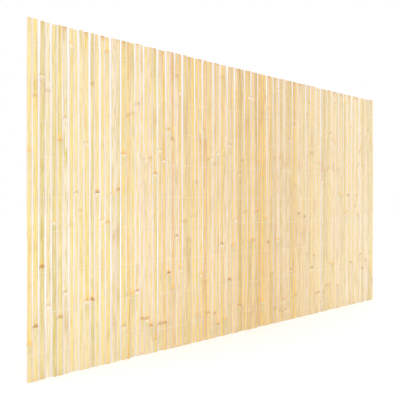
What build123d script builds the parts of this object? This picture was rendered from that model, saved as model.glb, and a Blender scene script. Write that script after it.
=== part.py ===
from build123d import *
import os
import random
from dataclasses import dataclass
from itertools import accumulate, pairwise
from math import sin, tau

# Split-bamboo slat fence, in millimetres. One hundred flat bamboo slats stand side by side in
# bunches of two and three. Nine rows of twine hold them: each row is two strands that pass one in
# front of a bunch and one behind it, and change sides in the gap before the next bunch.
#
# +Z is up, +X runs along the fence and the bamboo skin faces -Y. The origin is at the middle of
# the bottom edge. The right half has the layout of the left half, mirrored about the middle.

# Overall size
fence_length = 2000.0
fence_height = 1000.0
half_length = fence_length / 2

# Slats in each bunch, from the left end to the middle
left_bunches = (2, 2, 3, 2, 2, 2, 2, 2, 3, 2, 3, 2, 2, 2, 3, 2, 3, 2, 2, 2, 3, 2)

# Slat section: a flat split back, straight edges and the culm's round skin in front
head_width = 15.8
width_spread = 2.2
foot_growth = 1.2
foot_spread = 2.6
slat_thickness = 2.6
thickness_spread = 0.25
skin_crown = 0.7

# Gaps between the slats of one bunch, at the head and at the foot
head_gap_in_bunch = 1.5
foot_gap_in_bunch = 2.2

# Spreads of the gaps in a bunch and between bunches, as shares of the gap
gap_spread = 0.25
bunch_gap_spread = 0.35

# Slat ends: the first slats stand full height, and the others stop short by a few millimetres
tall_slats = 2
head_shortfall = 1.5
end_spread = 3.5
head_tilt = 0.06  # the most by which a head is cut out of square, as a slope

# Nodes: the skin swells towards each node and steps back above its scar. At one of them, near
# mid-height, the slat bends, so that the slats of a bunch spread there
internode_length = 550.0
internode_spread = 90.0
node_rise = 0.6
scar_length = 5.0
node_to_end = 40.0
node_to_tie = 14.0
node_bend = 0.75  # how far a bunch's outer slats stand out where they bend
bend_spread = 0.35

# Tie rows, from the foot up
tie_row_heights = (74.0, 187.0, 298.0, 412.0, 506.0, 617.0, 721.0, 832.0, 936.0)
strand_radius = 0.6
strand_sides = 3
strand_lift = 0.65  # how far the strands lie above and below the row as they change sides
seat_gap = 0.05
edge_turn = 1.6  # from an end slat's edge to the strands that turn round it
row_wander = 2.5  # how far a row strays up and down
wander_waves = (11.0, 27.0)  # lengths of the strays, in bunches

# The slats' flat backs lie in one plane, which centres the fence on the frame
back_y = (slat_thickness + node_rise) / 2

layout_seed = 17
rng = random.Random(layout_seed)


@dataclass
class Slat:
    """Left and right edge at the foot and at the head, the two ends, the nodes and the bend."""

    foot: tuple
    head: tuple
    foot_z: float
    head_z: float
    tilt: float
    thickness: float
    nodes: list
    bend: tuple  # height, and how far sideways

    def edge(self, side, z):
        share = z / fence_height
        stray = between([(self.foot_z, 0), self.bend, (self.head_z, 0)], z)
        return self.foot[side] * (1 - share) + self.head[side] * share + stray

    def stations(self):
        """Heights from the foot to the head, each with how far the skin stands out there."""
        foot_rise = node_rise * max(0, 1 - self.nodes[0] / internode_length)
        rows = [(self.foot_z, foot_rise)]
        for node in self.nodes:
            rows.append((node, node_rise))
            rows.append((node + scar_length, 0))
        above = self.head_z - rows[-1][0]
        rows.append((self.head_z, node_rise * min(1, above / internode_length)))
        return rows

    def rise(self, z):
        return between(self.stations(), z)

    def mirrored(self):
        return Slat(
            (-self.foot[1], -self.foot[0]),
            (-self.head[1], -self.head[0]),
            self.foot_z,
            self.head_z,
            -self.tilt,
            self.thickness,
            self.nodes,
            (self.bend[0], -self.bend[1]),
        )


def between(points, z):
    """The value at height z, in a line between the points (height, value) below and above it."""
    for (low, low_value), (high, high_value) in pairwise(points):
        if z <= high:
            return low_value + (high_value - low_value) * (z - low) / (high - low)


def vary(value, spread):
    return value + rng.uniform(-spread, spread)


def slat_edges(widths, gap_in_bunch):
    """Left and right edges of the left half's slats. The gaps between bunches take up what is left."""
    gaps = []
    between = []
    for count in left_bunches:
        gaps += [vary(gap_in_bunch, gap_spread * gap_in_bunch) for _ in range(count - 1)]
        between.append(len(gaps))
        gaps.append(vary(1, bunch_gap_spread))
    # the last gap is halved by the fence's middle
    shares = sum(gaps[i] for i in between) - gaps[-1] / 2
    in_bunches = sum(gaps) - sum(gaps[i] for i in between)
    scale = (half_length - sum(widths) - in_bunches) / shares
    for i in between:
        gaps[i] *= scale
    starts = accumulate([w + g for w, g in zip(widths, gaps)][:-1], initial=-half_length)
    return [(x, x + w) for x, w in zip(starts, widths)]


def node_heights():
    heights = []
    z = rng.uniform(node_to_end, internode_length)
    while z < fence_height - head_shortfall - end_spread - node_to_end:
        for tie in tie_row_heights:
            if abs(z - tie) < node_to_tie:
                z = tie + node_to_tie
        heights.append(z)
        z += vary(internode_length, internode_spread)
    return heights


def left_half():
    """The left half's slats, from the left end to the middle."""
    count = sum(left_bunches)
    # Place of each slat in its bunch, from -1 on the left to 1 on the right
    places = [2 * i / (size - 1) - 1 for size in left_bunches for i in range(size)]
    head_widths = [vary(head_width, width_spread) for _ in range(count)]
    foot_widths = [w + vary(foot_growth, foot_spread) for w in head_widths]
    heads = slat_edges(head_widths, head_gap_in_bunch)
    feet = slat_edges(foot_widths, foot_gap_in_bunch)
    slats = []
    for i in range(count):
        tall = i < tall_slats
        nodes = node_heights()
        slats.append(
            Slat(
                foot=feet[i],
                head=heads[i],
                foot_z=max(0, rng.uniform(-end_spread, end_spread)),
                head_z=fence_height - (0 if tall else head_shortfall + rng.uniform(0, end_spread)),
                tilt=0 if tall else vary(0, head_tilt),
                thickness=vary(slat_thickness, thickness_spread),
                nodes=nodes,
                bend=(
                    min(nodes, key=lambda z: abs(z - fence_height / 2)),
                    vary(node_bend * places[i], bend_spread),
                ),
            )
        )
    return slats


def in_bunches(slats):
    ends = accumulate(left_bunches, initial=0)
    return [slats[a:b] for a, b in pairwise(ends)]


left = in_bunches(left_half())
bunches = left + [[s.mirrored() for s in reversed(bunch)] for bunch in reversed(left)]
row_starts = [[rng.random() for _ in wander_waves] for _ in tie_row_heights]


def gap_centre(number, z):
    """X of the gap before bunch number, or of the turn round an end slat."""
    if number == 0:
        return bunches[0][0].edge(0, z) - edge_turn
    if number == len(bunches):
        return bunches[-1][-1].edge(1, z) + edge_turn
    return (bunches[number - 1][-1].edge(1, z) + bunches[number][0].edge(0, z)) / 2


def front_y(bunch, z):
    """Y of a strand that lies across the bunch's skins."""
    return back_y - max(s.thickness + s.rise(z) for s in bunch) - seat_gap - strand_radius


def row_height(row, number):
    """Height of a tie row at the gap before bunch number."""
    waves = [sin(tau * (number / length + start)) for length, start in zip(wander_waves, row_starts[row])]
    return tie_row_heights[row] + row_wander * sum(waves) / len(waves)


def strand_points(row, side, lift):
    """A strand's route, bunch by bunch. side is -1 where it starts in front and 1 where behind."""
    behind_y = back_y + seat_gap + strand_radius
    points = []
    for number in range(len(bunches) + 1):
        z = row_height(row, number) + lift
        x = gap_centre(number, z)
        before = bunches[max(0, number - 1)]
        after = bunches[min(number, len(bunches) - 1)]
        points.append((x, behind_y if side < 0 else front_y(before, z), z))
        points.append((x, front_y(after, z) if side < 0 else behind_y, z))
        side = -side
        lift = -lift
    return points


os.makedirs("parts", exist_ok=True)

# Bunches of slats: each slat is lofted from its foot, over every node, to its head
for number, bunch in enumerate(bunches, start=1):
    with BuildPart() as slat_bunch:
        for slat in bunch:
            for z, rise in slat.stations():
                slope = slat.tilt if z == slat.head_z else 0
                middle = (slat.edge(0, z) + slat.edge(1, z)) / 2
                edge_x = (slat.edge(1, z) - slat.edge(0, z)) / 2
                skin_y = back_y - slat.thickness - rise
                edge_y = skin_y + skin_crown
                with BuildSketch(Plane((middle, 0, z), x_dir=(1, 0, slope), z_dir=(-slope, 0, 1))):
                    with BuildLine():
                        ThreePointArc((-edge_x, edge_y), (0, skin_y), (edge_x, edge_y))
                        Polyline((edge_x, edge_y), (edge_x, back_y), (-edge_x, back_y), (-edge_x, edge_y))
                    make_face()
            loft(ruled=True)
    slat_bunch.part.label = f"slat_bunch_{number:02d}"
    export_step(slat_bunch.part, f"parts/{slat_bunch.part.label}.step")

# Tie rows: two strands that change sides together in every gap, one above the other
for row in range(len(tie_row_heights)):
    with BuildPart() as tie_row:
        for side in (-1, 1):
            with BuildLine() as route:
                Polyline(*strand_points(row, side, -side * strand_lift))
            with BuildSketch(Plane(route.line @ 0, x_dir=(0, 0, 1), z_dir=route.line % 0)):
                RegularPolygon(radius=strand_radius, side_count=strand_sides)
            sweep(path=route.line, transition=Transition.RIGHT)
    tie_row.part.label = f"tie_row_{row + 1}"
    export_step(tie_row.part, f"parts/{tie_row.part.label}.step")
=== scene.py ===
from collections import namedtuple
from itertools import pairwise
from math import ceil, cos, exp, radians, sin, tau
from random import Random

import bmesh
import bpy
from bpy.props import FloatProperty, FloatVectorProperty, IntProperty, PointerProperty
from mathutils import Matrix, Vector, noise


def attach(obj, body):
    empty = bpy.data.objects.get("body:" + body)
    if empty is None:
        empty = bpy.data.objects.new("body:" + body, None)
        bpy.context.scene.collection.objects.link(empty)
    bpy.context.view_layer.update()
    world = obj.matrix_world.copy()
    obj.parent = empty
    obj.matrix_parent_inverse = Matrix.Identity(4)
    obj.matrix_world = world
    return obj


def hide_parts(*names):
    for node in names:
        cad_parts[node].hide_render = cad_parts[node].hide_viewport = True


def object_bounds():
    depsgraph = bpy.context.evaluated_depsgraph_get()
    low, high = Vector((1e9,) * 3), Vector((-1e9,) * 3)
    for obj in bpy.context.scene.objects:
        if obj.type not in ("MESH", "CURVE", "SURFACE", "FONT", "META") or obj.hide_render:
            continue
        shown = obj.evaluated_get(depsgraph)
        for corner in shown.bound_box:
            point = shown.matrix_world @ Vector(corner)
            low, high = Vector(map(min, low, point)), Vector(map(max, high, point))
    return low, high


# Split-bamboo slat fence. Every bunch of slats and every tie row of the CAD frame gets a finished
# piece: slats with split edges, nodes, bud scars and sawn ends, and rows of two-ply cotton twine.
# Lengths are in metres. +Z is up, +X runs along the fence and the bamboo skin faces -Y.

bl_info = {
    "name": "Split bamboo slat fence",
    "version": (1, 0, 0),
    "blender": (4, 5, 0),
    "location": "3D View > Sidebar > Fence",
    "description": "Finishes the bamboo slats and the cotton ties of a slat fence round its CAD frame",
    "category": "Object",
}

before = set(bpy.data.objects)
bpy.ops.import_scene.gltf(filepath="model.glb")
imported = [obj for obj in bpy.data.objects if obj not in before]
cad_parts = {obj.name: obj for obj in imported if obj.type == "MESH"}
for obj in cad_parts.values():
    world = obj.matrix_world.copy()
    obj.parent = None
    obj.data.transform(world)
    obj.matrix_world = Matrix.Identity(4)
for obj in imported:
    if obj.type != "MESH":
        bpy.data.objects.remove(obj)  # the slat bunches and the tie rows are meshes, which stay in cad_parts
cad_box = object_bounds()

MM = 0.001


def linear(hex_colour):
    """An sRGB colour such as "#f0dda2" as the linear red, green, blue and alpha that Blender takes."""
    channels = [int(hex_colour[i : i + 2], 16) / 255 for i in (1, 3, 5)]
    return (*[c / 12.92 if c <= 0.04045 else ((c + 0.055) / 1.055) ** 2.4 for c in channels], 1.0)


def size_property(name, description, default):
    return FloatProperty(name=name, description=description, default=default, unit="LENGTH", precision=5)


def angle_property(name, description, degrees):
    return FloatProperty(name=name, description=description, default=radians(degrees), unit="ROTATION")


def colour_property(name, description, default):
    return FloatVectorProperty(
        name=name, description=description, default=linear(default), size=4, min=0, max=1, subtype="COLOR"
    )


class SlatSettings(bpy.types.PropertyGroup):
    """Sizes and colours of the split-bamboo slats."""

    seed: IntProperty(name="Seed", description="Picks every slat's own marks", default=5)
    skin_crown: size_property("Skin crown", "How far the round skin stands out between its edges", 0.7 * MM)
    ring_gap: size_property("Ring gap", "Most height between two rings of the mesh", 14 * MM)
    ledge: size_property("Node ledge", "Height of the sheath scar that runs round a node", 0.3 * MM)
    ridge: size_property("Node ridge", "Height of the soft ridge above the scar", 0.4 * MM)
    flare: size_property("Node flare", "How far an edge swells out at a node", 0.3 * MM)
    septum: size_property("Septum ridge", "Height of what is left of the wall inside a node", 0.75 * MM)
    wander: size_property("Edge wander", "How far a split edge strays from its line", 0.6 * MM)
    tear: size_property("Edge tear", "Depth of a step where the split left its line", 0.9 * MM)
    # Bare edges are drawn in the flesh colour: partly skin that the knife took off, partly painted shade of
    # the wide gaps beside them
    bare_edge_and_shade: FloatProperty(
        name="Bare edge", description="Most of a half width that has no skin",
        default=0.2, min=0, max=1, subtype="FACTOR",
    )
    chip: size_property("Corner chip", "How much of the width a chipped corner loses", 2.4 * MM)
    hollow: size_property("Back hollow", "How far the split back sinks in its middle", 0.12 * MM)
    olive: colour_property("Olive", "Skin that kept some of its green", "#cab760")
    cream: colour_property("Cream", "Skin of the palest slats", "#ecdfb3")
    straw: colour_property("Straw", "Skin of most slats", "#efdb82")
    honey: colour_property("Honey", "Skin that dried a strong yellow", "#f2d552")
    tan: colour_property("Tan", "Skin that weathered brown", "#d8ae69")
    bleached: colour_property("Bleached", "Stretches that the sun bleached", "#f1e4c6")
    rose: colour_property("Rose", "Pinkish streaks in the skin", "#efdcd6")
    bark: colour_property("Bark", "Fibre bundles", "#bba164")
    scratch: colour_property("Scratch", "Scratches and cracks that took up dirt", "#93683a")
    fleck: colour_property("Fleck", "Brown flecks of weathered patches", "#b8814a")
    green: colour_property("Node green", "Skin that stayed greenish below a node", "#c6ba7c")
    bloom: colour_property("Node bloom", "White bloom that the sheath left below a node", "#f6efe0")
    gold: colour_property("Node gold", "Skin that dried a warm yellow above a node", "#efc055")
    scar: colour_property("Scar", "Brown line of the sheath scar", "#d08338")
    scar_core: colour_property("Scar core", "Dark middle of the sheath scar", "#5a3216")
    bud: colour_property("Bud scar", "Scar of a bud above a node", "#6b4322")
    skin_stain: colour_property("Skin stain", "Skin beside a sawn end", "#c8893f")
    warm_skin: colour_property("Warm skin", "Tint of the slats at the middle of the fence", "#fbecd2")
    flesh: colour_property("Flesh", "Split edges", "#e6d2cf")
    # Painted shade: a grey tint that darkens the split edges towards the middle of the fence, where they
    # lie in shade
    flesh_shade: colour_property("Warm flesh", "Tint of their split edges there", "#dacbc4")
    pith: colour_property("Pith", "Split back", "#eadab6")
    cork: colour_property("Cork", "What is left of the wall inside a node", "#c79a62")
    flesh_stain: colour_property("Flesh stain", "Split flesh beside a sawn end", "#c48f57")
    vessel: colour_property("Vessel", "Fibre bundles cut across", "#a8793f")


class TieSettings(bpy.types.PropertyGroup):
    """Sizes and colours of the cotton ties."""

    radius: size_property("Twine radius", "Half the thickness of one strand", 0.5 * MM)
    step: size_property("Step", "Length between two rings of a strand", 1.5 * MM)
    pitch: size_property("Twist pitch", "Length in which the two plies turn once", 9 * MM)
    tail: size_property("Tail", "Length of the cut ends below a knot", 11 * MM)
    cotton: colour_property("Cotton", "Colour of the twine", "#f4edde")
    # Painted shade: the twine's colour in the groove where its two plies meet
    groove_shade: colour_property("Groove", "Twine between its two plies", "#d8ccb4")


class StudioSettings(bpy.types.PropertyGroup):
    """Camera, light and floor."""

    view_angle: angle_property("View angle", "Camera's turn from square on", 47.92)
    distance: size_property("Distance", "From the camera to the fence", 2.281)
    aim_x: size_property("Aim", "Place along the fence that the camera looks at", -0.296)
    lens: FloatProperty(name="Lens", description="Focal length", default=58.05, unit="CAMERA")
    key: FloatProperty(name="Key light", description="Strength of the soft key light", default=1.0)
    key_spread: angle_property("Key spread", "Width of the key light in the sky", 50)
    key_tilt: angle_property("Key tilt", "Key light's tilt from overhead", 50)
    key_turn: angle_property("Key turn", "Key light's turn from square on", -38)
    surround: FloatProperty(name="Surround", description="Strength of the white surround", default=1.0)
    floor_size: size_property("Floor", "Side of the square floor", 40)
    floor: colour_property("Floor colour", "Painted studio floor", "#f8fbff")


# Reading the CAD frame

WELD = 0.01 * MM
STATION_GAP = 2 * MM  # points further apart in height belong to different stations
SPAN = 10 * MM  # an edge longer than this is a strand's straight run past a bunch
GAP_REACH = 3 * MM  # points nearer than this along the fence belong to the same gap
STATION_POINTS = 4  # a station has at least this many; fewer are left from the cutting of a twisted face

Station = namedtuple("Station", "z left right skin back slope")


def loose_parts(mesh):
    """A mesh's edges as pairs of points, one list for each loose part."""
    bm = bmesh.new()
    bm.from_mesh(mesh)
    bmesh.ops.remove_doubles(bm, verts=bm.verts, dist=WELD)
    unseen = set(bm.verts)
    parts = []
    while unseen:
        edges = set()
        walk = [unseen.pop()]
        while walk:
            vert = walk.pop()
            edges.update(vert.link_edges)
            near = {edge.other_vert(vert) for edge in vert.link_edges} & unseen
            unseen -= near
            walk.extend(near)
        parts.append([tuple(vert.co[:] for vert in edge.verts) for edge in edges])
    bm.free()
    return parts


def grouped(points, axis, reach):
    """The points in order along an axis, parted where the next one is further than reach."""
    points = sorted(points, key=lambda p: (p[axis], p))
    groups = [[points[0]]]
    for before, point in pairwise(points):
        if point[axis] - before[axis] > reach:
            groups.append([])
        groups[-1].append(point)
    return groups


def read_stations(part):
    """A CAD slat's outline at its foot, below and above each node, and at its head. Its back is flat."""
    points = {point for edge in part for point in edge}
    stations = []
    for group in grouped(points, 2, STATION_GAP):
        if len(group) < STATION_POINTS:
            continue
        left = min(group)
        right = max(group)
        rim = [p for p in group if p[0] in (left[0], right[0])]
        stations.append(
            Station(
                z=(left[2] + right[2]) / 2,
                left=left[0],
                right=right[0],
                skin=min(p[1] for p in rim),
                back=max(p[1] for p in points),
                slope=(right[2] - left[2]) / (right[0] - left[0]),
            )
        )
    return stations


def read_strand(part):
    """Where a CAD strand passes each gap, and whether it starts in front of the first bunch."""
    points = {point for edge in part for point in edge}
    gaps = [
        (sum(p[0] for p in group) / len(group), sum(p[2] for p in group) / len(group))
        for group in grouped(points, 0, GAP_REACH)
    ]
    spans = [edge for edge in part if abs(edge[0][0] - edge[1][0]) > SPAN]
    first = min(spans, key=lambda edge: edge[0][0] + edge[1][0])
    return gaps, first[0][1] < 0


# Slats

# Places of the mesh's rings from an end and from a node, and of its points across a slat
END_RINGS = [gap * MM for gap in (0, 1, 3, 6, 10, 16, 24)]
NODE_RINGS = [
    gap * MM for gap in (-26, -16, -10, -6, -3, -1.5, -0.5, 0, 0.8, 1.8, 3, 4.5, 6, 8, 11, 15, 22)
]
RING_LEAST = 0.3 * MM
SKIN_ACROSS = (-0.97, -0.66, -0.33, 0, 0.33, 0.66, 0.97)
BACK_ACROSS = (0.97, 0.5, 0, -0.5, -0.97)
CORNER = 0.3 * MM  # how far a corner is worn round
BACK_WIDTH = 0.995  # as a share of the skin's
FRAY = 0.012  # how far a split edge frays, as a share of half the width
FRAY_LENGTH = 20 * MM
FULLEST = (0.35, 0.25)  # where an edge is fullest from skin to back, and how far that strays
FULLEST_LENGTH = 30 * MM

# Forms at a node: the height of each above the scar, and how far it reaches up and down
LEDGE_REACH = 1.7 * MM
RIDGE_ABOVE = 6 * MM
RIDGE_REACH = 6 * MM
FLARE_ABOVE = 2 * MM
FLARE_REACH = 14 * MM
SEPTUM_ABOVE = 1 * MM
SEPTUM_REACH = 4.5 * MM
SEPTUM_ROUGH = 0.4  # how much the ridge's height comes and goes across the slat
SEPTUM_LUMPS = 2.5  # on half the width
MOST_SLANT = 0.12  # of the scar, as a slope

# Marks at a node
LINED = 0.5  # share of the nodes at the foot that have a strong line; none has one at the head
STRONG_LINE = (0.3, 1)
FAINT_LINE = (0, 0.15)
BLOOMED = 0.3  # share of the nodes that have a bloom
BLOOM = (0.4, 0.9)
GLOW_LOSS = 0.5  # how much less a node glows at the head than at the foot
MOST_RUST = 1.4
RUST_ABOVE = 2 * MM
RUST_REACH = 11 * MM  # how far the brown flecks reach
BUDDED = 0.3  # share of the nodes that have a bud scar
BUD_ABOVE = (3, 6)  # millimetres above the node
MOST_BUD_ACROSS = 0.5
BUD_SIZE = (1.7, 3.2)  # half its width and its height in millimetres
NODE_REACH = 80  # millimetres past which a node leaves no mark
FAR = 99.0  # millimetres: a bud this far away doesn't show

# Tones
TONES = (0.0, 0.25, 0.5, 0.75, 1.0)  # places of olive, cream, straw, honey and tan on the ramp of tones
TONE_SHARES = (0.28, 0.16, 0.34, 0.16)  # how much of the fence is olive, cream, straw and honey
TAN_SHARE = (0.06, 0.14)  # how much is tan, and how much more at the middle
TONE_SPREAD = 0.07
INTERNODE_SPREAD = 0.14
BLEACH_RARITY = 1.6
BLEACH_CHANGE = (0.4, 1.6)  # how much of the slat's bleaching an internode has
WARMTH_AND_SHADE_REACH = 0.8  # nearer than this to the fence's middle, the slats are warmer and their split edges are greyed with painted shade

# Wear
MOST_TWIST = 0.02  # slope of a slat's face across it
MOST_GRAIN_LEAN = 0.03
STRAY_LENGTH = 160 * MM  # in which a split edge strays and comes back
BARE_EDGE_AND_SHADE_RARITY = 1.5
TEARS = 3  # on each edge
TEAR_DEPTH = (0.3, 1)  # as a share of the deepest
TEAR_LENGTH = (50 * MM, 180 * MM)
CHIPPED = (0.16, 0.45)  # share of the corners that are chipped or split at the foot and at the head
CHIP_LENGTH = ((8 * MM, 26 * MM), (15 * MM, 125 * MM))  # at the foot and at the head
CHIP_WIDTH = (0.4, 1)  # as a share of the widest
CHIP_CURVE = 1.5  # 1 is a straight cut
MOST_STAIN = (0.7, 0.9)  # at the foot and at the head
STAIN_RARITY = (9, 2.4)  # the higher, the fewer the ends with much stain
STAIN_FADE = 9  # millimetres in which an end's stain fades to about a third
PATCHES = (0, 0, 1, 1, 2)  # how many weathered patches a slat has
PATCH_LENGTH = (20 * MM, 90 * MM)
PATCH_STRENGTH = (0.3, 1)
CRACKED = 0.16  # share of the slats that are cracked at the head
CRACK_LENGTH = (40 * MM, 140 * MM)
MOST_CRACK_ACROSS = 0.6


def bump(distance, reach):
    """A smooth hump: 1 at no distance, 0 from reach on."""
    share = max(0.0, 1 - abs(distance) / reach)
    return share * share * (3 - 2 * share)


class NodeMarks:
    """What one node left on its slat: how strong its line, bloom, glow and rust are, and its bud scar.

    share is how high up the slat the node is, from 0 to 1. Nodes nearer the root are marked more often.
    """

    def __init__(self, rng, share):
        lined = rng.random() < LINED * (1 - share)
        self.line = rng.uniform(*(STRONG_LINE if lined else FAINT_LINE))
        self.bloom = rng.uniform(*BLOOM) if rng.random() < BLOOMED else 0.0
        self.glow = (1 - GLOW_LOSS * share) * rng.random() ** 2
        self.rust = MOST_RUST * rng.random() ** 2
        self.slant = rng.uniform(-MOST_SLANT, MOST_SLANT)
        self.bud_across = rng.uniform(-MOST_BUD_ACROSS, MOST_BUD_ACROSS)
        self.bud_above = rng.uniform(*BUD_ABOVE)
        self.bud = rng.random() < BUDDED


class Slat:
    """A slat's CAD outline, read at any height, and the marks of the culm that it was split from."""

    def __init__(self, stations, look, number):
        rng = Random(look.seed * 1000 + number)
        self.look = look
        self.stations = stations
        self.foot = stations[0].z
        self.head = stations[-1].z
        self.nodes = [station.z for station in stations[1:-1:2]]
        self.seed = rng.uniform(0, 100)
        self.twist = rng.uniform(-MOST_TWIST, MOST_TWIST)
        self.grain_lean = rng.uniform(-MOST_GRAIN_LEAN, MOST_GRAIN_LEAN)
        self.draw_tones(rng)
        self.marks = [NodeMarks(rng, node / self.head) for node in self.nodes]
        self.draw_wear(rng)

    def draw_tones(self, rng):
        """Picks the slat's tone, and how far each internode is from it and how much the sun bleached it."""
        middle = (self.stations[0].left + self.stations[0].right) / 2
        # How near the slat is to the fence's middle: its skin is warmer there, and its split edges carry
        # more painted shade
        self.warmth_and_shade = max(0.0, 1 - abs(middle) / WARMTH_AND_SHADE_REACH)
        tan, more_tan = TAN_SHARE
        shares = (*TONE_SHARES, tan + more_tan * self.warmth_and_shade)
        self.tone = rng.choices(TONES, shares)[0] + rng.uniform(-TONE_SPREAD, TONE_SPREAD)
        bleach = rng.random() ** BLEACH_RARITY
        self.internodes = [
            (rng.uniform(-INTERNODE_SPREAD, INTERNODE_SPREAD), min(1, bleach * rng.uniform(*BLEACH_CHANGE)))
            for _ in range(len(self.nodes) + 1)
        ]

    def draw_wear(self, rng):
        """Picks what the knife, the saw and the weather did. Pairs are left and right, or foot and head."""
        # How much of each edge is drawn bare: partly skin the knife took off, partly painted shade of the
        # gap beside it
        self.bare_edge_and_shade = [self.look.bare_edge_and_shade * rng.random() ** BARE_EDGE_AND_SHADE_RARITY for _ in range(2)]
        self.stains = [most * rng.random() ** rarity for most, rarity in zip(MOST_STAIN, STAIN_RARITY)]
        # Height, reach and strength of each weathered patch
        self.patches = [
            (rng.uniform(self.foot, self.head), rng.uniform(*PATCH_LENGTH), rng.uniform(*PATCH_STRENGTH))
            for _ in range(rng.choice(PATCHES))
        ]
        # A crack that runs down from the head: how far across it is, and how long
        across = rng.uniform(-MOST_CRACK_ACROSS, MOST_CRACK_ACROSS)
        self.crack = (across, (rng.random() < CRACKED) * rng.uniform(*CRACK_LENGTH))
        # Foot, length and depth of each tear
        self.tears = [
            [
                (
                    self.foot + rng.random() * (self.head - self.foot),
                    rng.uniform(*TEAR_LENGTH),
                    rng.uniform(*TEAR_DEPTH) * self.look.tear,
                )
                for _ in range(TEARS)
            ]
            for _ in range(2)
        ]
        self.chips = [
            [(rng.random() < chance) * rng.uniform(*CHIP_WIDTH) * self.look.chip for _ in range(2)]
            for chance in CHIPPED
        ]
        run = rng.random()
        self.chip_lengths = [short + (long - short) * run for short, long in CHIP_LENGTH]

    def outline(self, z):
        """The CAD outline at height z, between the stations below and above it."""
        for low, high in pairwise(self.stations):
            if z <= high.z:
                break
        share = (z - low.z) / (high.z - low.z)
        return Station(*[a + (b - a) * share for a, b in zip(low, high)])

    def edge_loss(self, side, z):
        """How far a split edge lies inside its CAD line: its stray, its tears and its chipped corners."""
        look = self.look
        loss = look.wander * noise.noise(Vector((self.seed + 31 * side, z / STRAY_LENGTH, 0)))
        for start, length, depth in self.tears[side]:
            if start <= z <= start + length:
                loss = max(loss, depth * (1 - (z - start) / length))
        for end, gap in enumerate((z - self.foot, self.head - z)):
            loss += self.chips[end][side] * max(0, 1 - gap / self.chip_lengths[end]) ** CHIP_CURVE
        return loss

    def sides(self, z):
        """Left and right edge at height z, with the swelling at the nodes."""
        line = self.outline(z)
        flare = sum(self.look.flare * bump(z - node - FLARE_ABOVE, FLARE_REACH) for node in self.nodes)
        return line.left + self.edge_loss(0, z) - flare, line.right - self.edge_loss(1, z) + flare

    def above_node(self, i, z, across):
        """Height above node number i, which runs slightly aslant."""
        line = self.outline(self.nodes[i])
        return z - self.nodes[i] - self.marks[i].slant * across * (line.right - line.left) / 2

    def front(self, z, across):
        """Y of the skin at a height and a place across it, from -1 to 1."""
        line = self.outline(z)
        y = line.skin - self.look.skin_crown * (1 - across * across)
        for i in range(len(self.nodes)):
            above = self.above_node(i, z, across)
            y -= self.look.ledge * bump(above, LEDGE_REACH)
            y -= self.look.ridge * bump(above - RIDGE_ABOVE, RIDGE_REACH)
        return y + self.twist * across * (line.right - line.left) / 2

    def behind(self, z, across):
        """Y of the split back at a height and a place across it."""
        line = self.outline(z)
        y = line.back - self.look.hollow * (1 - across * across)
        for i, node in enumerate(self.nodes):
            lump = noise.noise(Vector((self.seed, across * SEPTUM_LUMPS, node * 40)))
            rough = 1 - SEPTUM_ROUGH + SEPTUM_ROUGH * lump
            above = self.above_node(i, z, across)
            y += self.look.septum * rough * bump(above - SEPTUM_ABOVE, SEPTUM_REACH)
        return y + self.twist * across * (line.right - line.left) / 2

    def ring_heights(self):
        """Heights of the mesh's rings: close together at the ends and the nodes, and even between."""
        marks = [self.foot + gap for gap in END_RINGS] + [self.head - gap for gap in END_RINGS]
        for node in self.nodes:
            marks += [node + gap for gap in NODE_RINGS if self.foot < node + gap < self.head]
        heights = [self.foot]
        for mark in sorted(marks):
            gap = mark - heights[-1]
            if gap < RING_LEAST:
                continue
            steps = ceil(gap / self.look.ring_gap)
            heights += [heights[-1] + gap * step / steps for step in range(1, steps)] + [mark]
        heights[-1] = self.head
        return heights

    def ring(self, z):
        """The slat's section at height z: points, and how far across the slat each is."""
        left, right = self.sides(z)
        middle = (left + right) / 2
        half = (right - left) / 2
        place, stray = FULLEST
        fullest = place + stray * noise.noise(Vector((self.seed, z / FULLEST_LENGTH, 7)))
        points = [(across, self.front(z, across)) for across in SKIN_ACROSS]
        points += self.split_side(z, 1, fullest)
        points += [(across, self.behind(z, across)) for across in BACK_ACROSS]
        points += reversed(self.split_side(z, -1, fullest))
        near_head = max(0, 1 - (self.head - z) / END_RINGS[-1])
        slope = self.stations[-1].slope * near_head
        return [((middle + a * half, y, z + slope * a * half), a) for a, y in points]

    def split_side(self, z, side, fullest):
        """The three points of a split edge, from the skin to the back."""
        front = self.front(z, side) + CORNER
        back = self.behind(z, side) - CORNER
        fray = 1 - FRAY * noise.noise(Vector((self.seed + side, z / FRAY_LENGTH, 3)))
        y = front + (back - front) * fullest
        return [(side, front), (side * fray, y), (side * BACK_WIDTH, back)]


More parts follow.
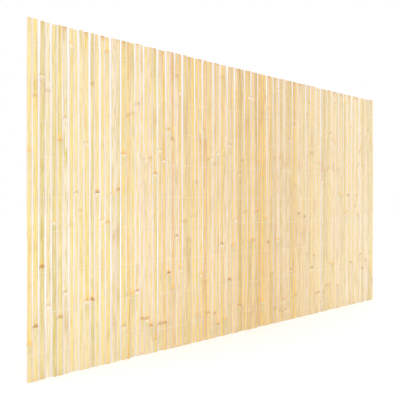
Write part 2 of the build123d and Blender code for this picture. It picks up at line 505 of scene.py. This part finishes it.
def slat_marks(slat, z, across):
    """What the bamboo materials need to know at one point of a slat, as attribute name and value."""
    left, right = slat.sides(z)
    half = (right - left) / 2
    i = min(range(len(slat.nodes)), key=lambda i: abs(z - slat.nodes[i]))
    node = slat.marks[i]
    above = slat.above_node(i, z, across) / MM
    bud_near = node.bud and abs(above) < NODE_REACH / 2
    shift, bleach = slat.internodes[i + (above > 0)]
    end_gap, end = min((z - slat.foot, 0), (slat.head - z, 1))
    crack_across, crack_length = slat.crack
    patches = [strength * bump(z - middle, reach) for middle, reach, strength in slat.patches]
    return {
        "slat_tone": slat.tone + shift,
        "slat_seed": slat.seed,
        "grain_x": across * half + slat.grain_lean * z,
        "slat_warmth_and_shade": slat.warmth_and_shade,
        "slat_bleach": bleach,
        "across": across,
        "bare_edge_and_shade": slat.bare_edge_and_shade[0] if across < 0 else slat.bare_edge_and_shade[1],
        "node_above": min(above, NODE_REACH) if above >= 0 else NODE_REACH,
        "node_below": min(-above, NODE_REACH) if above <= 0 else NODE_REACH,
        "node_line": node.line,
        "node_bloom": node.bloom,
        "node_glow": node.glow,
        "bud_across": (across - node.bud_across) * half / MM if bud_near else FAR,
        "bud_above": above - node.bud_above if bud_near else FAR,
        "crack_across": (across - crack_across) * half / MM,
        "crack": bump(slat.head - z, crack_length) if crack_length else 0,
        "end_stain": slat.stains[end] * exp(-end_gap / MM / STAIN_FADE),
        "patch": max(node.rust * bump(above * MM - RUST_ABOVE, RUST_REACH), *patches, 0),
    }


class MeshMaker:
    """Gathers points, faces, material numbers and point attributes, and makes a mesh of them."""

    def __init__(self):
        self.points = []
        self.faces = []
        self.materials = []
        self.values = {}

    def add_point(self, point, marks):
        self.points.append(point)
        for name, value in marks.items():
            self.values.setdefault(name, []).append(value)
        return len(self.points) - 1

    def add_face(self, corners, material=0):
        self.faces.append(corners)
        self.materials.append(material)

    def bridge(self, low, high, material_at):
        """A band of faces between two rings of the same length."""
        count = len(low)
        for i in range(count):
            j = (i + 1) % count
            self.add_face((low[i], low[j], high[j], high[i]), material_at(i))

    def make(self, name, materials, crease=radians(50)):
        mesh = bpy.data.meshes.new(name)
        mesh.from_pydata(self.points, [], self.faces)
        mesh.polygons.foreach_set("material_index", self.materials)
        for label, values in self.values.items():
            mesh.attributes.new(label, "FLOAT", "POINT").data.foreach_set("value", values)
        for material in materials:
            mesh.materials.append(material)
        mesh.shade_smooth()
        mesh.set_sharp_from_angle(angle=crease)
        mesh.update()
        piece = bpy.data.objects.new(name, mesh)
        bpy.context.scene.collection.objects.link(piece)
        return piece


SKIN, FLESH, SAWN = range(3)  # material numbers of a slat's mesh


def material_at(corner):
    """Skin between the front corners, and split flesh on the sides and the back."""
    return SKIN if corner < len(SKIN_ACROSS) - 1 else FLESH


def add_slat(maker, slat):
    """Adds one slat's rings and its two sawn ends."""
    rings = []
    for z in slat.ring_heights():
        rings.append([maker.add_point(p, slat_marks(slat, z, across)) for p, across in slat.ring(z)])
    for low, high in pairwise(rings):
        maker.bridge(low, high, material_at)
    maker.add_face(rings[0][::-1], SAWN)
    maker.add_face(rings[-1], SAWN)


def read_bunches():
    """Every bunch's name and CAD slats, from the left end of the fence to the right."""
    bunches = {}
    for name, node in sorted(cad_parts.items()):
        if name.startswith("slat_bunch"):
            slats = [read_stations(part) for part in loose_parts(node.data)]
            bunches[name] = sorted(slats, key=lambda stations: stations[0].left)
    return bunches


def grown_slats(look):
    """The finished slats of every bunch."""
    number = 0
    bunches = {}
    for name, slats in read_bunches().items():
        bunches[name] = [Slat(stations, look, number + i) for i, stations in enumerate(slats)]
        number += len(slats)
    return bunches


# Ties

STRAND_SIDES = 6
LOBE = 0.18  # how far the two plies stand out, as a share of the radius
SEATS = (-0.96, 0, 0.96)  # places across a slat that a strand goes over
RELAX_PASSES = 3
SINK = 0.05 * MM  # how far the twine beds into the bamboo
KNOT_POINTS = 30
KNOT_SIZE = 1.3 * MM
KNOT_INSET = 7 * MM  # from the edge of an end slat
TAIL_STEPS = 7
TAIL_GAP = 0.18 * MM  # from the middle of the knot to each cut end where it leaves the knot
TAIL_PARTING = 0.3 * MM  # how much further out each is at its tip
SHORTEST_TAIL = 0.6  # as a share of the longest
MOST_TAIL_LEAN = 3 * MM


def strand_route(gaps, in_front, bunches, radius):
    """A strand's way through the fence: over each slat's skin or back, and across every gap."""
    lift = radius - SINK
    route = []
    for number, bunch in enumerate(bunches):
        (x0, z0), (x1, z1) = gaps[number], gaps[number + 1]
        middle_y = 0.5 * (bunch[0].front(z0, -1) + bunch[0].behind(z0, -1))
        route.append(Vector((x0, middle_y, z0)))
        for slat in bunch:
            left, right = slat.sides(z0 + (z1 - z0) / 2)
            for across in SEATS:
                x = (left + right) / 2 + across * (right - left) / 2
                z = z0 + (z1 - z0) * (x - x0) / (x1 - x0)
                y = slat.front(z, across) - lift if in_front else slat.behind(z, across) + lift
                route.append(Vector((x, y, z)))
        in_front = not in_front
    last = bunches[-1][-1]
    x, z = gaps[-1]
    route.append(Vector((x, 0.5 * (last.front(z, 1) + last.behind(z, 1)), z)))
    return route


def spaced(route, step):
    """The route cut into even steps."""
    points = [route[0]]
    for start, end in pairwise(route):
        count = max(1, round((end - start).length / step))
        points += [start.lerp(end, i / count) for i in range(1, count + 1)]
    return points


def relaxed(points, passes):
    """The points with their corners eased, as a strand eases round an edge."""
    for _ in range(passes):
        inner = [(a + 2 * b + c) / 4 for a, b, c in zip(points, points[1:], points[2:])]
        points = [points[0], *inner, points[-1]]
    return points


def add_yarn(maker, path, look, closed=False):
    """Adds two plies twisted together along a path, as one tube with two lobes."""
    rings = []
    run = 0.0
    side = Vector((0, 0, 1))
    count = len(path)
    for i, point in enumerate(path):
        ahead = path[(i + 1) % count] if closed else path[min(i + 1, count - 1)]
        back = path[i - 1] if closed or i else point
        along = (ahead - back).normalized()
        side = (side - along * side.dot(along)).normalized()
        up = along.cross(side)
        turn = tau * run / look.pitch
        ring = []
        for corner in range(STRAND_SIDES):
            angle = tau * corner / STRAND_SIDES
            lobe = cos(2 * (angle - turn))
            radius = look.radius * (1 - LOBE + LOBE * lobe)
            spot = point + (side * cos(angle) + up * sin(angle)) * radius
            # ply says how far out a lobe is here; the twine's material uses it for its painted shade
            # between the plies
            ring.append(maker.add_point(spot, {"ply": lobe, "run": run}))
        rings.append(ring)
        run += (ahead - point).length
    pairs = list(pairwise(rings))
    if closed:
        pairs.append((rings[-1], rings[0]))
    for low, high in pairs:
        maker.bridge(low, high, lambda i: 0)
    if not closed:
        maker.add_face(rings[0][::-1])
        maker.add_face(rings[-1])


def row_knot(routes, end, slat, look):
    """Where a row's two strands are knotted: behind the end slat, a few millimetres in from its edge."""
    edge = sum((route[end] for route in routes), Vector()) / len(routes)
    inward = -1 if edge.x > 0 else 1
    return Vector((edge.x + inward * KNOT_INSET, slat.behind(edge.z, 0) + look.radius, edge.z))


def knot_path(centre):
    """A closed overhand knot round a centre."""
    path = []
    for i in range(KNOT_POINTS):
        turn = tau * i / KNOT_POINTS
        reach = 0.62 + 0.3 * cos(3 * turn)
        spot = Vector((reach * cos(2 * turn), 0.34 * sin(3 * turn), reach * sin(2 * turn)))
        path.append(centre + KNOT_SIZE * spot)
    return path


def tail_path(knot, side, lean, length):
    """A cut end that hangs from the knot, away from the other end, and leans."""
    path = []
    for i in range(TAIL_STEPS + 1):
        share = i / TAIL_STEPS
        sideways = side * (TAIL_GAP + TAIL_PARTING * share) + lean * share * share
        path.append(knot + Vector((sideways, 0, -length * share)))
    return path


def add_knot(maker, knot, rng, look):
    """Adds a row's knot and its two cut ends."""
    add_yarn(maker, knot_path(knot), look, closed=True)
    inward = -1 if knot.x > 0 else 1
    for side in (-1, 1):
        length = look.tail * rng.uniform(SHORTEST_TAIL, 1)
        lean = inward * rng.uniform(0, MOST_TAIL_LEAN)
        add_yarn(maker, tail_path(knot, side, lean, length), look)


# Materials


def add(tree, kind, inputs=(), stops=(), **settings):
    """Adds a node, sets it, and links or fills its inputs. stops are a ramp's places and colours."""
    node = tree.nodes.new(kind)
    for name, value in settings.items():
        setattr(node, name, value)
    for socket, value in dict(inputs).items():
        if isinstance(value, bpy.types.NodeSocket):
            tree.links.new(value, node.inputs[socket])
        else:
            node.inputs[socket].default_value = value
    if stops:
        ramp = node.color_ramp.elements
        while len(ramp) < len(stops):
            ramp.new(0.5)
        for element, (place, colour) in zip(ramp, stops):
            element.position = place
            element.color = colour
    return node


def grey(value):
    return (value, value, value, 1)


def new_material(name, roughness, ior):
    """A material with one Principled shader, with its tree and its shader."""
    material = bpy.data.materials.new(name)
    material.use_nodes = True
    tree = material.node_tree
    shader = tree.nodes["Principled BSDF"]
    shader.inputs["Roughness"].default_value = roughness
    shader.inputs["IOR"].default_value = ior
    return material, tree, shader


def link_look(tree, shader, colour, height, depth, strength):
    """Gives the shader its colour and a relief, which is this many millimetres deep."""
    tree.links.new(colour, shader.inputs["Base Color"])
    inputs = {"Strength": strength, "Distance": depth * MM, "Height": height}
    relief = add(tree, "ShaderNodeBump", inputs)
    tree.links.new(relief.outputs["Normal"], shader.inputs["Normal"])


CELLS = 5.0  # a texture's own scale: how many of its cells a unit of its place holds


def in_cells(tree, place, across, along):
    """The place, scaled so that a texture's cells measure this many millimetres."""
    scale = [1 / (CELLS * size * MM) for size in (across, across, along)]
    return add(tree, "ShaderNodeVectorMath", {0: place, 1: scale}, operation="MULTIPLY").outputs[0]


def streaks(tree, across, along, detail=2.0):
    """Noise in marks of about this many millimetres across and along, different on every slat."""
    place = add(tree, "ShaderNodeTexCoord").outputs["Object"]
    place = add(tree, "ShaderNodeSeparateXYZ", {0: place}).outputs
    grain = add(tree, "ShaderNodeAttribute", attribute_name="grain_x").outputs["Fac"]
    seed = add(tree, "ShaderNodeAttribute", attribute_name="slat_seed").outputs["Fac"]
    place = add(tree, "ShaderNodeCombineXYZ", {"X": grain, "Y": place["Y"], "Z": place["Z"]}).outputs[0]
    place = in_cells(tree, place, across, along)
    inputs = {"Vector": place, "W": seed, "Scale": CELLS, "Detail": detail}
    return add(tree, "ShaderNodeTexNoise", inputs, noise_dimensions="4D").outputs["Fac"]


def layer(tree, colour, tint, value, stops, strength=None):
    """Lays a tint over a colour, as much of it as stops say at each value, times a strength attribute."""
    ramp = [(at, grey(much)) for at, much in stops]
    amount = add(tree, "ShaderNodeValToRGB", {"Fac": value}, stops=ramp).outputs["Color"]
    if strength:
        mark = add(tree, "ShaderNodeAttribute", attribute_name=strength).outputs["Fac"]
        amount = add(tree, "ShaderNodeMath", {0: amount, 1: mark}, operation="MULTIPLY").outputs[0]
    return add(tree, "ShaderNodeMix", {0: amount, 6: colour, 7: tint}, data_type="RGBA").outputs[2]


def slat_tones(look):
    """The skin tones of the culms, from green to brown, as a ramp."""
    return list(zip(TONES, (look.olive, look.cream, look.straw, look.honey, look.tan)))


def unsigned(tree, attribute):
    """An attribute without its sign."""
    value = add(tree, "ShaderNodeAttribute", attribute_name=attribute).outputs["Fac"]
    return add(tree, "ShaderNodeMath", {0: value}, operation="ABSOLUTE").outputs[0]


def tinted_at_middle(tree, colour, tint):
    """The colour, times a tint towards the middle of the fence: warmth for the skin and the back, painted
    shade for the split edges.
    """
    warmth_and_shade = add(tree, "ShaderNodeAttribute", attribute_name="slat_warmth_and_shade").outputs["Fac"]
    inputs = {0: warmth_and_shade, 6: colour, 7: tint}
    return add(tree, "ShaderNodeMix", inputs, data_type="RGBA", blend_type="MULTIPLY").outputs[2]


def skin_streaks(tree, look, fibres):
    """The skin's colour, which runs along the slat in streaks."""
    tone = add(tree, "ShaderNodeAttribute", attribute_name="slat_tone").outputs["Fac"]

    # The tone changes along the slat, and in clear streaks about 1.4 and 0.5 mm wide
    for value, low, high, most in (
        (streaks(tree, 6, 48, 1.0), 0.3, 0.7, 0.2),
        (streaks(tree, 1.4, 220, 1.0), 0.48, 0.52, 0.24),
        (streaks(tree, 0.48, 160, 1.0), 0.44, 0.56, 0.14),
    ):
        inputs = {"Value": value, "From Min": low, "From Max": high, "To Min": -most, "To Max": most}
        shift = add(tree, "ShaderNodeMapRange", inputs).outputs["Result"]
        tone = add(tree, "ShaderNodeMath", {0: tone, 1: shift}, operation="ADD").outputs[0]
    colour = add(tree, "ShaderNodeValToRGB", {"Fac": tone}, stops=slat_tones(look)).outputs["Color"]

    # Bleached stretches, rose streaks, fibre bundles, and brown lines where the skin was scratched
    bleach = streaks(tree, 1.8, 48, 1.0)
    colour = layer(tree, colour, look.bleached, bleach, [(0.42, 0), (0.52, 1)], "slat_bleach")
    for tint, value, stops in (
        (look.rose, streaks(tree, 0.52, 140, 1.0), [(0.56, 0), (0.61, 0.65)]),
        (look.bark, streaks(tree, 0.36, 140, 1.0), [(0.57, 0), (0.61, 0.65)]),
        (look.scratch, streaks(tree, 0.6, 52, 1.0), [(0.68, 0), (0.71, 0.8)]),
        (look.bark, fibres, [(0.32, 0.35), (0.5, 0)]),
    ):
        colour = layer(tree, colour, tint, value, stops)
    colour = tinted_at_middle(tree, colour, look.warm_skin)

    # Weathered patches: brown flecks that lie along the fibres
    flecks = streaks(tree, 0.48, 1.4, 1.5)
    return layer(tree, colour, look.fleck, flecks, [(0.45, 0), (0.62, 0.9)], "patch")


def skin_at_nodes(tree, look, colour):
    """The skin's colour, with what the sheaths and the buds left at its nodes."""
    # Bloom and greenish skin below the node, golden skin and the brown line of the scar above it. Their
    # edges stray by 2 to 9 mm, and their places are shares of NODE_REACH
    blots = streaks(tree, 0.9, 1.4, 1.0)
    for side, strength, tint, most, stops in (
        ("node_below", "node_glow", look.green, 2, [(0.02, 0), (0.15, 0.8), (0.35, 0.45), (0.9, 0)]),
        ("node_below", "node_bloom", look.bloom, 6, [(0, 0.9), (0.03, 0.8), (0.12, 0)]),
        ("node_above", "node_glow", look.gold, 2, [(0, 0.85), (0.12, 0.6), (0.3, 0.2), (0.9, 0)]),
        ("node_above", "node_line", look.scar, 6, [(0, 0.9), (0.05, 0.7), (0.12, 0)]),
        ("node_above", "node_line", look.scar_core, 9, [(0, 0.95), (0.01, 0.9), (0.03, 0)]),
    ):
        inputs = {"Value": blots, "From Min": 0.35, "From Max": 0.65, "To Min": most, "To Max": -most}
        stray = add(tree, "ShaderNodeMapRange", inputs).outputs["Result"]
        gap = add(tree, "ShaderNodeAttribute", attribute_name=side).outputs["Fac"]
        gap = add(tree, "ShaderNodeMath", {0: gap, 1: stray}, operation="ADD").outputs[0]
        gap = add(tree, "ShaderNodeMath", {0: gap, 1: NODE_REACH}, operation="DIVIDE").outputs[0]
        colour = layer(tree, colour, tint, gap, stops, strength)

    # A bud scar is a dark brown drop, about 3 mm wide and 6 mm high
    across = add(tree, "ShaderNodeAttribute", attribute_name="bud_across").outputs["Fac"]
    above = add(tree, "ShaderNodeAttribute", attribute_name="bud_above").outputs["Fac"]
    bud = add(tree, "ShaderNodeCombineXYZ", {"X": across, "Y": above}).outputs[0]
    bud = add(tree, "ShaderNodeVectorMath", {0: bud, 1: (*BUD_SIZE, 1)}, operation="DIVIDE").outputs[0]
    bud = add(tree, "ShaderNodeVectorMath", {0: bud}, operation="LENGTH").outputs["Value"]
    return layer(tree, colour, look.bud, bud, [(0.45, 0.9), (1, 0)])


def skin_wear(tree, look, colour):
    """The skin's colour, with its cracks, its stained ends, and edges drawn in the flesh colour, partly
    where the knife bared them and partly as painted shade of the gaps beside them.
    """
    # A crack from the head is a dark line, drawn 2 mm wide so that it shows
    colour = layer(tree, colour, look.scratch, unsigned(tree, "crack_across"), [(0.3, 1), (1, 0)], "crack")

    stain = add(tree, "ShaderNodeAttribute", attribute_name="end_stain").outputs["Fac"]
    colour = layer(tree, colour, look.skin_stain, stain, [(0, 0), (1, 1)])

    # Flesh colour along the skin's edges: partly bared by the knife, partly painted shade of the gaps
    bare_edge_and_shade = add(tree, "ShaderNodeAttribute", attribute_name="bare_edge_and_shade").outputs["Fac"]
    bare_edge_and_shade = add(tree, "ShaderNodeMath", {0: unsigned(tree, "across"), 1: bare_edge_and_shade}, operation="ADD").outputs[0]
    return layer(tree, colour, look.flesh, bare_edge_and_shade, [(0.86, 0), (0.98, 0.65)])


def bamboo_skin(look):
    """Dried culm skin: hard and waxy, so it has a satin gloss, with its colour in long streaks."""
    material, tree, shader = new_material("bamboo_skin", 0.45, 1.5)
    fibres = streaks(tree, 0.32, 32, 3.0)
    colour = skin_streaks(tree, look, fibres)
    colour = skin_at_nodes(tree, look, colour)
    colour = skin_wear(tree, look, colour)
    rough = {"Value": fibres, "From Min": 0.3, "From Max": 0.7, "To Min": 0.52, "To Max": 0.4}
    tree.links.new(add(tree, "ShaderNodeMapRange", rough).outputs["Result"], shader.inputs["Roughness"])
    link_look(tree, shader, colour, fibres, depth=0.12, strength=0.5)
    return material


def split_flesh(look):
    """The culm wall where it was split: pale, dry and fibrous, so it is matt, with brown fibre bundles."""
    material, tree, shader = new_material("split_bamboo_flesh", 0.72, 1.5)
    tone = add(tree, "ShaderNodeAttribute", attribute_name="slat_tone").outputs["Fac"]
    skin = add(tree, "ShaderNodeValToRGB", {"Fac": tone}, stops=slat_tones(look)).outputs["Color"]
    colour = add(tree, "ShaderNodeMix", {0: 0.65, 6: skin, 7: look.pith}, data_type="RGBA").outputs[2]
    fibres = streaks(tree, 0.22, 9, 4.0)
    for tint, value, stops in (
        (look.tan, streaks(tree, 1.8, 30), [(0.52, 0), (0.66, 0.45)]),
        (look.bleached, streaks(tree, 1, 14), [(0.52, 0), (0.58, 0.7)]),
        (look.bark, streaks(tree, 0.32, 26), [(0.56, 0), (0.62, 0.45)]),
        (look.bark, fibres, [(0.3, 0.6), (0.52, 0)]),
    ):
        colour = layer(tree, colour, tint, value, stops)
    colour = tinted_at_middle(tree, colour, look.warm_skin)

    # The split edges are cleaner and more rosy than the back, and towards the middle of the fence they are
    # greyed with painted shade
    edges = tinted_at_middle(tree, look.flesh, look.flesh_shade)
    colour = layer(tree, colour, edges, unsigned(tree, "across"), [(0.97, 0), (0.985, 0.9)])

    # The septum inside a node is corky and brown
    above = add(tree, "ShaderNodeAttribute", attribute_name="node_above").outputs["Fac"]
    below = add(tree, "ShaderNodeAttribute", attribute_name="node_below").outputs["Fac"]
    gap = add(tree, "ShaderNodeMath", {0: above, 1: below}, operation="MINIMUM").outputs[0]
    gap = add(tree, "ShaderNodeMath", {0: gap, 1: NODE_REACH}, operation="DIVIDE").outputs[0]
    colour = layer(tree, colour, look.cork, gap, [(0.015, 0.75), (0.09, 0)])
    stain = add(tree, "ShaderNodeAttribute", attribute_name="end_stain").outputs["Fac"]
    colour = layer(tree, colour, look.flesh_stain, stain, [(0, 0), (1, 1)])

    link_look(tree, shader, colour, fibres, depth=0.25, strength=0.8)
    return material


def sawn_end(look):
    """End grain under a fine saw: matt, with the dots of fine fibre bundles, which show only close up."""
    material, tree, shader = new_material("sawn_bamboo_end", 0.8, 1.5)
    place = in_cells(tree, add(tree, "ShaderNodeTexCoord").outputs["Object"], 0.18, 0.18)
    cells = add(tree, "ShaderNodeTexVoronoi", {"Vector": place, "Scale": CELLS}).outputs["Distance"]
    stops = [(0.18, look.vessel), (0.4, grey(1))]
    dots = add(tree, "ShaderNodeValToRGB", {"Fac": cells}, stops=stops).outputs["Color"]
    inputs = {0: 0.8, 6: look.honey, 7: dots}
    colour = add(tree, "ShaderNodeMix", inputs, data_type="RGBA", blend_type="MULTIPLY").outputs[2]
    link_look(tree, shader, colour, cells, depth=0.2, strength=0.6)
    return material


def cotton_twine(look):
    """Bleached two-ply cotton: off-white and matt, with painted shade between the plies, and faint fuzz at
    its rim.
    """
    material, tree, shader = new_material("cotton_twine", 0.85, 1.53)
    shader.inputs["Sheen Weight"].default_value = 0.25
    shader.inputs["Sheen Roughness"].default_value = 0.5
    # Painted shade in the groove between the plies: cotton on the crest of a ply, the groove colour where
    # the lobe is lowest
    ply = add(tree, "ShaderNodeAttribute", attribute_name="ply").outputs["Fac"]
    inputs = {"Value": ply, "From Min": -1.0, "From Max": 0.2}
    crest = add(tree, "ShaderNodeMapRange", inputs).outputs["Result"]
    inputs = {0: crest, 6: look.groove_shade, 7: look.cotton}
    colour = add(tree, "ShaderNodeMix", inputs, data_type="RGBA").outputs[2]
    place = in_cells(tree, add(tree, "ShaderNodeTexCoord").outputs["Object"], 0.06, 0.06)
    inputs = {"Vector": place, "Scale": CELLS, "Detail": 2.0}
    fuzz = add(tree, "ShaderNodeTexNoise", inputs).outputs["Fac"]
    link_look(tree, shader, colour, fuzz, depth=0.1, strength=0.5)
    return material


def studio_floor(look):
    """Matt white floor paint, with the faint unevenness that a roller leaves, in patches of 333 mm."""
    material, tree, shader = new_material("matt_floor_paint", 0.9, 1.5)
    place = add(tree, "ShaderNodeTexCoord").outputs["Object"]
    inputs = {"Vector": place, "Scale": 1 / (333 * MM), "Detail": 3.0}
    rolled = add(tree, "ShaderNodeTexNoise", inputs).outputs["Fac"]
    inputs = {"Value": rolled, "To Min": 0.985, "To Max": 1.0}
    tint = add(tree, "ShaderNodeMapRange", inputs).outputs["Result"]
    inputs = {0: 1.0, 6: look.floor, 7: tint}
    colour = add(tree, "ShaderNodeMix", inputs, data_type="RGBA", blend_type="MULTIPLY").outputs[2]
    tree.links.new(colour, shader.inputs["Base Color"])
    return material


# Operators


class FENCE_OT_make_slats(bpy.types.Operator):
    """Makes every bunch of bamboo slats in place of its CAD node"""

    bl_idname = "fence.make_slats"
    bl_label = "Make slats"

    def execute(self, context):
        look = context.scene.fence_slats
        materials = [bamboo_skin(look), split_flesh(look), sawn_end(look)]
        for node, slats in grown_slats(look).items():
            maker = MeshMaker()
            for slat in slats:
                add_slat(maker, slat)
            piece = maker.make(node.replace("slat_bunch", "bamboo_bunch"), materials)
            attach(piece, "root")
            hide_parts(node)
        return {"FINISHED"}


class FENCE_OT_make_ties(bpy.types.Operator):
    """Makes every tie row, with its knots, in place of its CAD node"""

    bl_idname = "fence.make_ties"
    bl_label = "Make ties"

    def execute(self, context):
        look = context.scene.fence_ties
        bunches = list(grown_slats(context.scene.fence_slats).values())
        cotton = cotton_twine(look)
        rows = [name for name in sorted(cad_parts) if name.startswith("tie_row")]
        for row in rows:
            rng = Random(row)
            maker = MeshMaker()
            strands = sorted(read_strand(part) for part in loose_parts(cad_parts[row].data))
            routes = [strand_route(gaps, in_front, bunches, look.radius) for gaps, in_front in strands]
            knots = [row_knot(routes, 0, bunches[0][0], look), row_knot(routes, -1, bunches[-1][-1], look)]
            for route in routes:
                path = relaxed(spaced([knots[0], *route, knots[1]], look.step), RELAX_PASSES)
                add_yarn(maker, path, look)
            for knot in knots:
                add_knot(maker, knot, rng, look)
            piece = maker.make(row.replace("tie_row", "cotton_tie"), [cotton], crease=radians(180))
            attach(piece, "root")
            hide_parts(row)
        return {"FINISHED"}


class FENCE_OT_make_studio(bpy.types.Operator):
    """Makes the floor, the lights, the white surround and the camera"""

    bl_idname = "fence.make_studio"
    bl_label = "Make studio"

    def execute(self, context):
        look = context.scene.fence_studio
        scene = context.scene
        half = look.floor_size / 2
        mesh = bpy.data.meshes.new("studio_floor")
        corners = [(-half, -half, 0), (half, -half, 0), (half, half, 0), (-half, half, 0)]
        mesh.from_pydata(corners, [], [(0, 1, 2, 3)])
        mesh.materials.append(studio_floor(look))
        floor = bpy.data.objects.new("studio_floor", mesh)
        scene.collection.objects.link(floor)

        world = bpy.data.worlds.new("white_surround")
        world.use_nodes = True
        surround = world.node_tree.nodes["Background"].inputs
        surround["Color"].default_value = grey(1)
        surround["Strength"].default_value = look.surround
        scene.world = world

        key = bpy.data.lights.new("key_light", "SUN")
        key.energy = look.key
        key.angle = look.key_spread
        lamp = bpy.data.objects.new("key_light", key)
        lamp.rotation_euler = (look.key_tilt, 0, look.key_turn)
        scene.collection.objects.link(lamp)

        camera = bpy.data.cameras.new("camera")
        camera.lens = look.lens
        camera.sensor_width = 36
        eye = bpy.data.objects.new("camera", camera)
        turn = look.view_angle
        middle_z = (cad_box[0].z + cad_box[1].z) / 2
        eye.location = (look.aim_x - look.distance * sin(turn), -look.distance * cos(turn), middle_z)
        eye.rotation_euler = (radians(90), 0, -turn)
        scene.collection.objects.link(eye)
        scene.camera = eye
        scene.view_settings.view_transform = "Standard"
        return {"FINISHED"}


class FENCE_PT_sidebar(bpy.types.Panel):
    """Lists the fence's operators and their settings"""

    bl_idname = "FENCE_PT_sidebar"
    bl_label = "Slat fence"
    bl_space_type = "VIEW_3D"
    bl_region_type = "UI"
    bl_category = "Fence"

    def draw(self, context):
        for group in GROUPS:
            box = self.layout.box()
            settings = getattr(context.scene, group)
            for name in settings.__annotations__:
                box.prop(settings, name)
            box.operator(group.replace("_", ".make_"))


GROUPS = {"fence_slats": SlatSettings, "fence_ties": TieSettings, "fence_studio": StudioSettings}
OPERATORS = (FENCE_OT_make_slats, FENCE_OT_make_ties, FENCE_OT_make_studio)
CLASSES = (*GROUPS.values(), *OPERATORS, FENCE_PT_sidebar)


def register():
    for cls in CLASSES:
        bpy.utils.register_class(cls)
    for name, group in GROUPS.items():
        setattr(bpy.types.Scene, name, PointerProperty(type=group))


def unregister():
    for name in GROUPS:
        delattr(bpy.types.Scene, name)
    for cls in reversed(CLASSES):
        bpy.utils.unregister_class(cls)


def main():
    register()
    bpy.ops.fence.make_slats()
    bpy.ops.fence.make_ties()
    bpy.ops.fence.make_studio()


if __name__ == "__main__":
    main()
